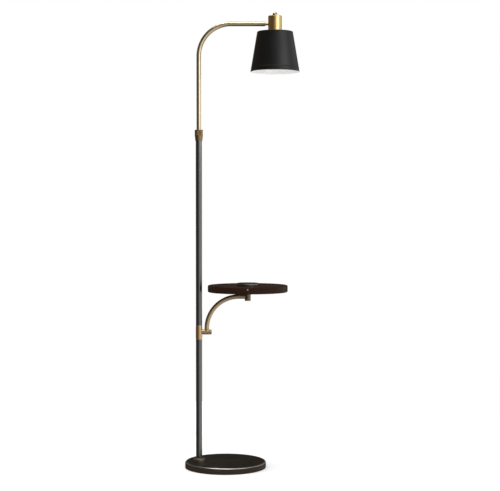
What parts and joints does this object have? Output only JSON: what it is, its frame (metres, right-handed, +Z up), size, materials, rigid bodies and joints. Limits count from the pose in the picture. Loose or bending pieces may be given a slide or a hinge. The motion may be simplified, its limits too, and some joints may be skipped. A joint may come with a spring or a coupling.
{
  "type": "floor lamp with tray",
  "caption": "Slim floor lamp: round weighted base, telescoping pole with a bent brass arm, tilting cone shade, and a swinging round tray.",
  "frame": {"origin": "middle of the base's underside, on the floor", "axes": "+Z up, +X from the pole towards the lamp head and the tray, +Y to the back, where the cord inlet is"},
  "size_m": [0.4023, 0.2868, 1.5997],
  "materials": {
    "lacquer": "satin black lacquer, glossy on edges",
    "shade_paint": "satin black outside, white inside",
    "brass": "satin champagne brass",
    "plain_brass": "turned",
    "iron": "as cast",
    "foam": "fine cell foam",
    "rubber": "matte",
    "steel": "zinc plated",
    "black_steel": "black powder coat",
    "wire_sheath": "smooth sheath",
    "nylon": "natural nylon",
    "tray_gloss": "dark glossy, a little warm",
    "pad_plastic": "satin dark",
    "black_plastic": "matte",
    "bulb_glass": "frosted",
    "copper": "wound copper",
    "board": "circuit board",
    "light_pipe": "pale diffusing light pipe"
  },
  "bodies": {
    "stand": {"base_cover": "lacquer", "base_weight": "iron", "base_pad": "foam", "base_stud": "steel", "base_washer": "steel", "base_nut": "steel", "cable_gland": "rubber", "pole_foot": "lacquer", "pole_plug": "steel", "pole_lower": "lacquer", "tee_connector": "brass", "pole_upper": "lacquer", "collar_seat": "plain_brass", "pole_wire": "wire_sheath"},
    "lock_collar": {"lock_collar": "brass"},
    "arm_lift": {"glide_bush": "nylon"},
    "arm": {"arm_tube": "brass", "arm_wire": "wire_sheath", "arm_end_plug": "brass", "head_pivot": "brass", "pivot_washer": "steel", "pivot_nut": "steel"},
    "head": {"head_cup": "brass", "switch_body": "black_plastic", "shade": "shade_paint", "shade_ring": "black_plastic", "lampholder": "black_plastic", "holder_shell": "plain_brass", "bulb_cap": "steel", "bulb_glass": "bulb_glass"},
    "switch_knob": {"switch_knob": "brass"},
    "tray_arm": {"tray_arm_tube": "brass", "tray_arm_spigot": "steel", "tray_hub": "brass", "hub_stud": "steel", "hub_nut": "steel", "tray_flange": "black_steel", "flange_screws": "steel", "tray_top": "tray_gloss", "tray_bottom": "tray_gloss", "cover_screws": "steel", "charger_board": "board", "charging_pad": "pad_plastic", "charging_coil": "copper", "coil_shield": "black_plastic", "indicator_light": "light_pipe"},
    "tray_lock": {"tray_lock_screw": "brass"}
  },
  "joints": [
    {"name": "arm_height", "type": "slide", "parent": "stand", "child": "arm_lift", "axis": [0, 0, 1], "range_m": [-0.22, 0.08]},
    {"name": "arm_swing", "type": "hinge", "parent": "arm_lift", "child": "arm", "pos_m": [-0.0932, 0, 1.2], "axis": [0, 0, 1], "range_deg": [-170, 170]},
    {"name": "head_tilt", "type": "hinge", "parent": "arm", "child": "head", "pos_m": [0.1498, 0, 1.558], "axis": [1, 0, 0], "range_deg": [-75, 75]},
    {"name": "switch_turn", "type": "hinge", "parent": "head", "child": "switch_knob", "pos_m": [0.1738, 0, 1.59], "axis": [0, 0, 1], "range_deg": [0, 90]},
    {"name": "collar_turn", "type": "hinge", "parent": "stand", "child": "lock_collar", "pos_m": [-0.0932, 0, 1.17], "axis": [0, 0, 1], "range_deg": [0, 120]},
    {"name": "tray_swing", "type": "hinge", "parent": "stand", "child": "tray_arm", "pos_m": [-0.0659, 0, 0.48], "axis": [0, 0, 1], "range_deg": [-70, 70]},
    {"name": "tray_lock_turn", "type": "hinge", "parent": "stand", "child": "tray_lock", "pos_m": [-0.0532, 0, 0.478], "axis": [1, 0, 0], "range_deg": [0, 180]}
  ]
}
